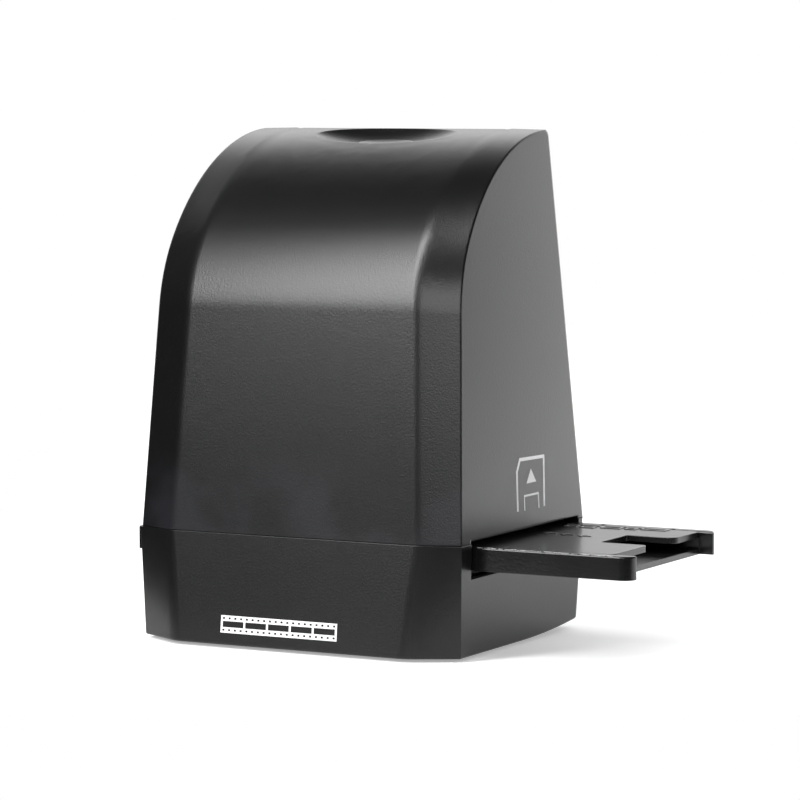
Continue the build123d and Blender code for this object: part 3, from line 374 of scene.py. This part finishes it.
basePlastic = mouldedPlastic(basePaint)
hoodPlastic = mouldedPlastic(hoodPaint)
trayPlastic = mouldedPlastic(trayPaint)
guidePlastic = mouldedPlastic(guidePaint)
whitePlastic = mouldedPlastic(whitePaint)
zincSteel = platedMetal(zincFinish)
boardGreen = circuitBoard(boardPaint)
chipPackage = mouldedPlastic(chipPaint)
lampParts = lampBody(lampFinish)
glass = clearPiece(lensFinish)
ribbon = ribbonFoil(ribbonFinish)

finishes = {
    "base_shell": basePlastic, "hood_shell": hoodPlastic,
    "rubber_feet": mouldedPlastic(rubberPaint),
    "case_screws": zincSteel, "guide_screws": zincSteel, "upper_guide_screws": zincSteel,
    "tunnel_screws": zincSteel, "sensor_screws": zincSteel, "board_screws": zincSteel,
    "button_board_screws": zincSteel, "tray_spring": platedMetal(springFinish),
    "lower_guide": guidePlastic, "upper_guide": guidePlastic, "light_tunnel": guidePlastic,
    "lens_holder": guidePlastic, "lens_barrel": guidePlastic, "light_seals": felt(feltFinish),
    "lamp_board": boardGreen, "sensor_board": boardGreen, "main_board": boardGreen,
    "button_board": boardGreen, "lamps": lampParts, "light_die": lampParts,
    "reflector": whitePlastic, "switch_plunger": whitePlastic, "ribbon_plugs": whitePlastic,
    "button_plugs": whitePlastic, "lamp_plugs": whitePlastic, "diffuser": opalSheet(opalFinish),
    "front_lens": glass, "rear_lens": glass, "infrared_filter": clearPiece(filterFinish),
    "image_sensor": chipPackage, "image_chip": chipPackage, "memory_chip": chipPackage,
    "usb_tongue": chipPackage, "scan_switch": chipPackage, "usb_socket": platedMetal(tinFinish),
    "scan_button": mouldedPlastic(buttonPaint), "light_pipe": clearPiece(pipeFinish),
    "sensor_ribbon": ribbon, "button_ribbon": ribbon, "lamp_cable": mouldedPlastic(cablePaint),
    "tray_frame": trayPlastic, "tray_cover": trayPlastic,
}
for nodeName, finish in finishes.items():
    mesh = nodes[nodeName].data
    mesh.materials.clear()
    mesh.materials.append(finish)
print("materials ready", sorted(set(nodes) - set(finishes)))

# Helpers for the scene's own pieces


def addMesh(name, build, material):
    mesh = bpy.data.meshes.new(name)
    build.to_mesh(mesh)
    build.free()
    mesh.materials.append(material)
    item = bpy.data.objects.new(name, mesh)
    bpy.context.scene.collection.objects.link(item)
    return item


def addPiece(name, build, material, body):
    piece = addMesh(name, build, material)
    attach(piece, body)
    return piece


def addPlate(build, corners, place, thickness):
    vertices = [build.verts.new((x, y, 0)) for x, y in corners]
    face = build.faces.new(vertices)
    solid = bmesh.ops.extrude_face_region(build, geom=[face])
    raised = [item for item in solid["geom"] if isinstance(item, bmesh.types.BMVert)]
    bmesh.ops.translate(build, vec=(0, 0, thickness), verts=raised)
    bmesh.ops.transform(build, matrix=place, verts=vertices + raised)


def addStroke(build, points, width, place, thickness):
    half = width / 2
    steps = [Vector(b) - Vector(a) for a, b in zip(points, points[1:])]
    sides = [Vector((-step.y, step.x)).normalized() for step in steps]
    corners = []
    for index, point in enumerate(points):
        before = sides[max(index - 1, 0)]
        after = sides[min(index, len(sides) - 1)]
        mitre = (before + after).normalized()
        corners.append(mitre * (half / mitre.dot(after)))
    for index in range(len(points) - 1):
        a, b = Vector(points[index]), Vector(points[index + 1])
        p, q = corners[index], corners[index + 1]
        addPlate(build, [a - p, b - q, b + q, a + p], place, thickness)


# The CAD's shells are loose triangles. Merged copies of them are shaded smooth over their bends
shellSkins = {"hoodSkin": "hood_shell", "baseSkin": "base_shell"}
skinSettings = {"weld": 0.00001, "sharpAbove": 24.0}


def makeSkin(name, node, s):
    build = bmesh.new()
    build.from_mesh(nodes[node].data)
    bmesh.ops.remove_doubles(build, verts=build.verts, dist=s["weld"])
    for face in build.faces:
        face.smooth = True
    sharp = math.radians(s["sharpAbove"])
    for edge in build.edges:
        edge.smooth = edge.calc_face_angle(math.pi) < sharp
    skin = addPiece(name, build, finishes[node], "case")
    weighted = skin.modifiers.new("weightedNormal", "WEIGHTED_NORMAL")
    weighted.keep_sharp = True
    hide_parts(node)


for skinName, nodeName in shellSkins.items():
    makeSkin(skinName, nodeName, skinSettings)
print("skins ready")

# White prints, each of thin plates that lie on the plastic
printPaint = {
    "name": "whiteInk", "dark": (0.84, 0.84, 0.85), "pale": (0.92, 0.92, 0.93),
    "roughLow": 0.45, "roughHigh": 0.55, "grain": 0.000004, "grainScale": 2600.0,
    "edge": 0.00001, "cloudScale": 400.0,
}
whiteInk = mouldedPlastic(printPaint)


def wallPlace(foot, across, up):
    out = across.cross(up)
    return Matrix.Translation(foot) @ Matrix((across, up, out)).transposed().to_4x4()


# The mark on the right wall shows how the tray goes in. Its points are (y, z) in millimetres
sideMark = {
    "outline": ((-0.8, 33.5), (-0.5, 43.3), (1.4, 46.2), (14.9, 45.9), (14.3, 33.4)),
    "outlineWidth": 0.85,
    "notch": ((3.1, 33.4), (3.2, 37.0), (11.1, 37.0), (11.2, 33.3)),
    "notchWidth": 0.5,
    "arrow": ((4.7, 40.0), (10.1, 40.0), (7.4, 43.5)),
    "wallX": 44.9, "wallFoot": 28.2, "draft": 0.045, "ink": 0.03,
}


def makeSideMark(s):
    foot = Vector((s["wallX"], 0, s["wallFoot"])) * mm
    up = Vector((-s["draft"], 0, 1)).normalized()
    place = wallPlace(foot, Vector((0, 1, 0)), up)

    def local(points):
        return [Vector((y, (z - s["wallFoot"]) / up.z)) * mm for y, z in points]

    build = bmesh.new()
    ink = s["ink"] * mm
    addStroke(build, local(s["outline"]), s["outlineWidth"] * mm, place, ink)
    addStroke(build, local(s["notch"]), s["notchWidth"] * mm, place, ink)
    addPlate(build, local(s["arrow"]), place, ink)
    addPiece("sideMark", build, whiteInk, "case")


makeSideMark(sideMark)

# A plain strip of film is printed low on the base's front
filmStrip = {
    "left": -18.9, "right": 13.8, "low": 3.9, "high": 8.2, "line": 0.45, "frames": 5,
    "holes": 20, "holeSize": 0.62, "holeHeight": 0.496, "ink": 0.03, "frameGap": 0.55,
    "footY": -38.05, "footZ": 0.8, "topY": -35.25, "topZ": 28.2,
}


def makeFilmStrip(s):
    foot = Vector((0, s["footY"], s["footZ"])) * mm
    top = Vector((0, s["topY"], s["topZ"])) * mm
    place = wallPlace(foot, Vector((1, 0, 0)), (top - foot).normalized())
    low = s["low"] - s["footZ"]
    high = s["high"] - s["footZ"]
    build = bmesh.new()

    def box(x, y, width, height):
        corners = [(x, y), (x + width, y), (x + width, y + height), (x, y + height)]
        addPlate(build, [Vector(corner) * mm for corner in corners], place, s["ink"] * mm)

    width = s["right"] - s["left"]
    for edge in (low, high - s["line"]):
        box(s["left"], edge, width, s["line"])
    pitch = width / s["holes"]
    bridge = pitch - s["holeSize"]
    rowHeight = s["holeHeight"]
    for row in (low + s["line"], high - s["line"] - rowHeight):
        for step in range(s["holes"] + 1):
            start = s["left"] + step * pitch - bridge / 2
            first = max(start, s["left"])
            last = min(start + bridge, s["right"])
            box(first, row, last - first, rowHeight)
    innerLow = low + s["line"] + rowHeight
    innerHigh = high - s["line"] - rowHeight
    for edge in (innerLow, innerHigh - s["line"]):
        box(s["left"], edge, width, s["line"])
    framePitch = (width - s["frameGap"]) / s["frames"]
    for step in range(s["frames"] + 1):
        box(
            s["left"] + step * framePitch, innerLow + s["line"], s["frameGap"],
            innerHigh - innerLow - 2 * s["line"],
        )
    addPiece("filmStripPrint", build, whiteInk, "case")


makeFilmStrip(filmStrip)
print("prints ready")

# Raised marks on the slide tray's cover: arrows, bars and small frame outlines. Their pale grey
# is a painted highlight where they catch the light
coverMarks = {
    "top": 27.4, "height": 0.16, "stroke": 0.55,
    "arrows": ((47.5, 8.6), (52.5, 8.0), (57.5, 7.4)), "arrowSize": 1.5,
    "shaftStart": 0.4, "shaftEnd": 3.3,
    "frames": (
        (46.0, 23.6, 3.0, 2.0), (50.5, 23.2, 3.4, 2.0), (55.5, 24.6, 5.0, 2.6),
        (62.0, 25.0, 2.6, 2.0), (66.0, 26.0, 6.4, 2.8),
    ),
    "bars": ((44.9, 27.6, 9.0), (56.0, 28.3, 16.0)),
}
# Painted highlight: the marks are pale grey though the tray is black
reliefHighlightPaint = {
    "name": "paintedHighlightRelief", "dark": (0.06, 0.06, 0.06), "pale": (0.20, 0.20, 0.20),
    "roughLow": 0.15, "roughHigh": 0.25, "grain": 0.00002, "grainScale": 1500.0,
    "edge": 0.0001, "cloudScale": 350.0,
}


def makeCoverMarks(s):
    place = Matrix.Translation((0, 0, s["top"] * mm))
    size = s["arrowSize"]
    build = bmesh.new()

    def line(*points):
        scaled = [Vector(point) * mm for point in points]
        addStroke(build, scaled, s["stroke"] * mm, place, s["height"] * mm)

    for x, y in s["arrows"]:
        line((x + size, y + size), (x, y), (x + size, y - size))
        line((x + s["shaftStart"], y), (x + s["shaftEnd"], y))
    for x, y, width, depth in s["frames"]:
        line((x, y), (x + width, y), (x + width, y + depth), (x, y + depth), (x, y))
    for x, y, length in s["bars"]:
        line((x, y), (x + length, y))
    addPiece("coverMarks", build, mouldedPlastic(reliefHighlightPaint), "tray")


makeCoverMarks(coverMarks)

# Small slivers along the front rail's top edge where the mould closed, coloured pale as a painted
# glint
railGlints = {
    "y": -25.66, "foot": 27.36, "from": 46.0, "to": 82.0, "count": 60, "seed": 7,
    "longest": 1.3, "shortest": 0.25, "thickest": 0.20, "thinnest": 0.3, "wide": 0.24,
}
# Painted glint: pale grey slivers on the black rail
glintPaint = {
    "name": "paintedGlintPlastic", "dark": (0.22, 0.22, 0.22), "pale": (0.70, 0.70, 0.70),
    "roughLow": 0.15, "roughHigh": 0.3, "grain": 0.00004, "grainScale": 900.0,
    "edge": 0.00005, "cloudScale": 900.0,
}


def makeRailGlints(s):
    rng = random.Random(s["seed"])
    build = bmesh.new()
    for step in range(s["count"]):
        x = s["from"] + (s["to"] - s["from"]) * (step + rng.random()) / s["count"]
        length = s["longest"] * (s["shortest"] + (1 - s["shortest"]) * rng.random() ** 2)
        height = s["thickest"] * (s["thinnest"] + (1 - s["thinnest"]) * rng.random())
        centre = Vector((x, s["y"], s["foot"] + height / 2)) * mm
        size = Vector((length, s["wide"], height)) * mm
        place = Matrix.Translation(centre) @ Matrix.Diagonal((*size, 1))
        bmesh.ops.create_cube(build, size=1, matrix=place)
    addPiece("railGlints", build, mouldedPlastic(glintPaint), "tray")


makeRailGlints(railGlints)
print("tray marks ready")

# The floor is turned to the camera and ends close in front of the case
floorFinish = {
    "colour": (0.8, 0.8, 0.8), "rough": 0.7, "lift": 0.35, "turn": 27.88,
    "left": -0.12, "right": 0.8, "front": -0.12, "back": 1.2,
}


def makeFloor(s):
    build = bmesh.new()
    bmesh.ops.create_grid(build, x_segments=1, y_segments=1, size=1)
    middle = Vector(((s["left"] + s["right"]) / 2, (s["front"] + s["back"]) / 2, 0))
    reach = Vector(((s["right"] - s["left"]) / 2, (s["back"] - s["front"]) / 2, 1))
    bmesh.ops.scale(build, vec=reach, verts=build.verts)
    bmesh.ops.translate(build, vec=middle, verts=build.verts)
    turn = Matrix.Rotation(math.radians(s["turn"]), 3, "Z")
    bmesh.ops.rotate(build, cent=(0, 0, 0), matrix=turn, verts=build.verts)
    material, tree, shader = newMaterial("paleFloor")
    shader.inputs["Base Color"].default_value = (*s["colour"], 1)
    shader.inputs["Roughness"].default_value = s["rough"]
    shader.inputs["Specular IOR Level"].default_value = 0.0
    rays = addNode(tree, "ShaderNodeLightPath").outputs
    mirrored = combine(tree, "MAXIMUM", rays["Is Glossy Ray"], rays["Is Transmission Ray"])
    seen = combine(tree, "MAXIMUM", rays["Is Camera Ray"], mirrored)
    shader.inputs["Emission Color"].default_value = (1, 1, 1, 1)
    lift = combine(tree, "MULTIPLY", seen, s["lift"])
    tree.links.new(lift, shader.inputs["Emission Strength"])
    floor = addMesh("floor", build, material)


makeFloor(floorFinish)

# The world is white. A dark tent in front and overhead, open at the back, shades the case
tentSettings = {
    "radius": 2.6, "behind": (-0.4677, 0.8839, 0.0), "shutBelow": 0.40, "openAbove": 0.85,
    "colour": (0.03, 0.03, 0.03), "segments": 64, "rings": 32,
}


def makeTent(s):
    build = bmesh.new()
    bmesh.ops.create_uvsphere(
        build, u_segments=s["segments"], v_segments=s["rings"], radius=s["radius"]
    )
    material, tree, shader = newMaterial("darkCloth")
    shader.inputs["Base Color"].default_value = (*s["colour"], 1)
    shader.inputs["Roughness"].default_value = 1.0
    shader.inputs["Specular IOR Level"].default_value = 0.0
    facing = addNode(tree, "ShaderNodeVectorMath", operation="DOT_PRODUCT")
    tree.links.new(objectCoordinates(tree), facing.inputs[0])
    facing.inputs[1].default_value = [axis / s["radius"] for axis in s["behind"]]
    cover = spread(
        tree, facing.outputs["Value"], 1.0, 0.0, s["shutBelow"], s["openAbove"], smooth=True
    )
    tree.links.new(cover, shader.inputs["Alpha"])
    tent = addMesh("tent", build, material)
    tent.visible_camera = False


makeTent(tentSettings)

worldSettings = {"colour": (1.0, 1.0, 1.0), "strength": 1.0}


def makeWorld(s):
    world = bpy.data.worlds.new("studio")
    bpy.context.scene.world = world
    world.use_nodes = True
    background = world.node_tree.nodes["Background"]
    background.inputs["Color"].default_value = (*s["colour"], 1)
    background.inputs["Strength"].default_value = s["strength"]


makeWorld(worldSettings)

# Softboxes: azimuth and elevation of each from the case, in degrees, distance and size in metres
softboxes = {
    "frontLeft": {
        "azimuth": 245.5, "up": 37.6, "far": 1.0, "wide": 0.27, "high": 1.10, "level": 14.5,
    },
    "frontRight": {
        "azimuth": 286, "up": 17, "far": 1.0, "wide": 0.42, "high": 0.40, "level": 4.4,
    },
    "backRight": {
        "azimuth": 78, "up": 12, "far": 0.42, "wide": 0.26, "high": 0.5, "level": 2.4,
    },
    "leftBack": {
        "azimuth": 160, "up": 38, "far": 1.2, "wide": 0.45, "high": 0.3, "level": 0.9,
    },
    "behind": {
        "azimuth": 119, "up": 30, "far": 1.2, "wide": 0.83, "high": 0.5, "level": 0.9,
    },
    "ceiling": {
        "azimuth": 0, "up": 90, "far": 1.9, "wide": 2.4, "high": 2.4, "level": 1.2,
        "glossy": False,
    },
    "sideFill": {
        "azimuth": 5, "up": 35, "far": 1.4, "wide": 1.0, "high": 1.0, "level": 2.5,
        "glossy": False,
    },
}
softboxAim = (0.0, 0.0, 0.06)


def addSoftbox(name, s):
    data = bpy.data.lights.new(name, "AREA")
    data.shape = "RECTANGLE"
    data.size = s["wide"]
    data.size_y = s["high"]
    data.energy = s["level"] * math.pi * s["wide"] * s["high"]
    lamp = bpy.data.objects.new(name, data)
    azimuth, up = math.radians(s["azimuth"]), math.radians(s["up"])
    away = Vector(
        (math.cos(up) * math.cos(azimuth), math.cos(up) * math.sin(azimuth), math.sin(up))
    )
    lamp.location = Vector(softboxAim) + away * s["far"]
    lamp.rotation_euler = away.to_track_quat("Z", "Y").to_euler()
    lamp.visible_camera = False
    lamp.visible_glossy = s.get("glossy", True)
    bpy.context.scene.collection.objects.link(lamp)


for lampName, lampSettings in softboxes.items():
    addSoftbox(lampName, lampSettings)

bpy.context.scene.view_settings.view_transform = "Standard"
print("stage ready")
